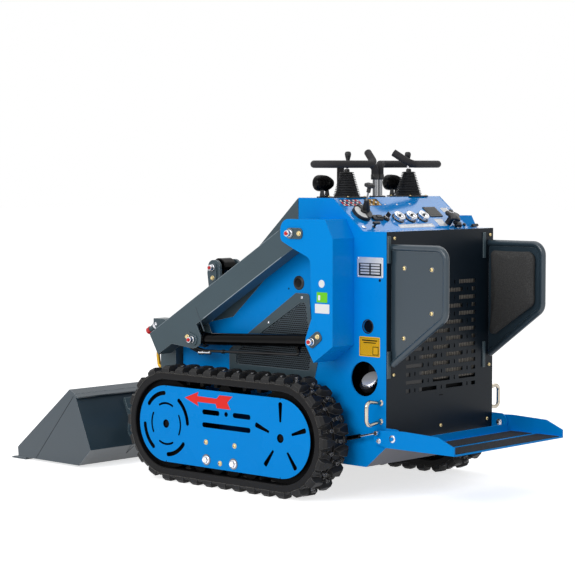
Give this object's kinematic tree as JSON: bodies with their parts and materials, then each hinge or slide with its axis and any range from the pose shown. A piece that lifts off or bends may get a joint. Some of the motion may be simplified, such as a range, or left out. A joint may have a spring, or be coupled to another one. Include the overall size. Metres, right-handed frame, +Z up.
{
  "type": "mini track loader",
  "caption": "Stand-on mini track loader with rubber tracks, lift arms, tilting bucket, hydraulic cylinders, padded hip guards and a folding operator platform.",
  "frame": {"origin": "on the ground under the middle of the machine's overall length", "axes": "+X forward towards the bucket, +Y to the operator's left, +Z up"},
  "size_m": [2.408, 1.136, 1.4006],
  "materials": {
    "blue_paint": "gloss powder coat",
    "grey_paint": "satin powder coat",
    "dark_panel": "satin powder coat",
    "track_rubber": "matt",
    "cast_iron": "painted",
    "chrome": "polished",
    "black_paint": "gloss",
    "black_plastic": "matt",
    "yellow_zinc": "zinc passivated",
    "pad_foam": "foam"
  },
  "bodies": {
    "chassis": {"side_wall_left": "blue_paint", "side_wall_right": "blue_paint", "belly_pan": "blue_paint", "front_nose": "blue_paint", "rear_panel": "dark_panel", "console": "blue_paint", "hood": "grey_paint", "mesh_panels": "grey_paint", "tower_left": "blue_paint", "tower_right": "blue_paint", "frame_pins": "chrome", "engine_block": "cast_iron", "fuel_filler": "black_plastic", "joysticks": "black_plastic", "console_controls": "black_plastic", "grab_bar_left": "black_plastic", "grab_bar_right": "black_plastic", "work_lights": "black_plastic", "pad_frames": "grey_paint", "hip_pad_left": "pad_foam", "hip_pad_right": "pad_foam", "tie_down_loops": "chrome", "platform_brackets": "blue_paint", "track_left": "track_rubber", "track_right": "track_rubber", "track_frame_left": "grey_paint", "track_frame_right": "grey_paint", "track_guard_left": "blue_paint", "track_guard_right": "blue_paint", "sprocket_left": "cast_iron", "sprocket_right": "cast_iron", "idlers": "cast_iron", "rollers": "cast_iron"},
    "lift_arms": {"lift_arm_left": "grey_paint", "lift_arm_right": "grey_paint", "arm_cross_box": "grey_paint", "arm_pins": "chrome", "aux_couplers": "black_paint", "aux_lines": "yellow_zinc"},
    "bucket": {"quick_coupler": "grey_paint", "coupler_pins": "chrome", "bucket": "grey_paint"},
    "lift_barrel_left": {"lift_barrel_left": "black_paint", "lift_hose_left": "track_rubber"},
    "lift_barrel_right": {"lift_barrel_right": "black_paint", "lift_hose_right": "track_rubber"},
    "lift_rod_left": {"lift_rod_left": "chrome"},
    "lift_rod_right": {"lift_rod_right": "chrome"},
    "tilt_barrel": {"tilt_barrel": "black_paint"},
    "tilt_rod": {"tilt_rod": "chrome"},
    "platform": {"platform_deck": "blue_paint"},
    "strut_barrel": {"strut_barrel": "black_paint"},
    "strut_rod": {"strut_rod": "chrome"}
  },
  "joints": [
    {"name": "arm_lift", "type": "hinge", "parent": "chassis", "child": "lift_arms", "pos_m": [-0.453, 0, 1.064], "axis": [0, -1, 0], "range_deg": [0, 80]},
    {"name": "bucket_dump", "type": "hinge", "parent": "lift_arms", "child": "bucket", "pos_m": [0.591, 0, 0.165], "axis": [0, 1, 0], "range_deg": [-22, 90]},
    {"name": "lift_cylinder_swing_left", "type": "hinge", "parent": "lift_arms", "child": "lift_barrel_left", "pos_m": [0.12704, 0.416, 0.60002], "axis": [0, -1, 0], "range_deg": [-23.5, 0.1]},
    {"name": "lift_cylinder_stroke_left", "type": "slide", "parent": "lift_barrel_left", "child": "lift_rod_left", "axis": [-0.9988, 0, 0.0498], "range_m": [0, 0.4697]},
    {"name": "lift_cylinder_swing_right", "type": "hinge", "parent": "lift_arms", "child": "lift_barrel_right", "pos_m": [0.12704, -0.416, 0.60002], "axis": [0, -1, 0], "range_deg": [-23.5, 0.1]},
    {"name": "lift_cylinder_stroke_right", "type": "slide", "parent": "lift_barrel_right", "child": "lift_rod_right", "axis": [-0.9988, 0, 0.0498], "range_m": [0, 0.4697]},
    {"name": "tilt_cylinder_swing", "type": "hinge", "parent": "lift_arms", "child": "tilt_barrel", "pos_m": [0.38996, 0, 0.8799], "axis": [0, -1, 0], "range_deg": [-1.19, 4.25]},
    {"name": "tilt_cylinder_stroke", "type": "slide", "parent": "tilt_barrel", "child": "tilt_rod", "axis": [0.395, 0, -0.9187], "range_m": [-0.049, 0.1973]},
    {"name": "platform_fold", "type": "hinge", "parent": "chassis", "child": "platform", "pos_m": [-0.893, 0, 0.264], "axis": [0, 1, 0], "range_deg": [0, 82]},
    {"name": "strut_swing", "type": "hinge", "parent": "chassis", "child": "strut_barrel", "pos_m": [-0.577, 0.374, 0.226], "axis": [0, -1, 0], "range_deg": [-0.3, 19.29]},
    {"name": "strut_stroke", "type": "slide", "parent": "strut_barrel", "child": "strut_rod", "axis": [-0.974, 0, 0.2266], "range_m": [-0.002, 0.0393]}
  ],
  "couplings": [
    {"joint": "lift_cylinder_swing_left", "follows": "arm_lift", "ratio": -0.29},
    {"joint": "lift_cylinder_stroke_left", "follows": "arm_lift", "m_per_rad": 0.335},
    {"joint": "lift_cylinder_swing_right", "follows": "arm_lift", "ratio": -0.29},
    {"joint": "lift_cylinder_stroke_right", "follows": "arm_lift", "m_per_rad": 0.335},
    {"joint": "tilt_cylinder_swing", "follows": "bucket_dump", "ratio": 0.045},
    {"joint": "tilt_cylinder_stroke", "follows": "bucket_dump", "m_per_rad": 0.125},
    {"joint": "strut_swing", "follows": "platform_fold", "ratio": 0.2316},
    {"joint": "strut_stroke", "follows": "platform_fold", "m_per_rad": 0.0261}
  ]
}
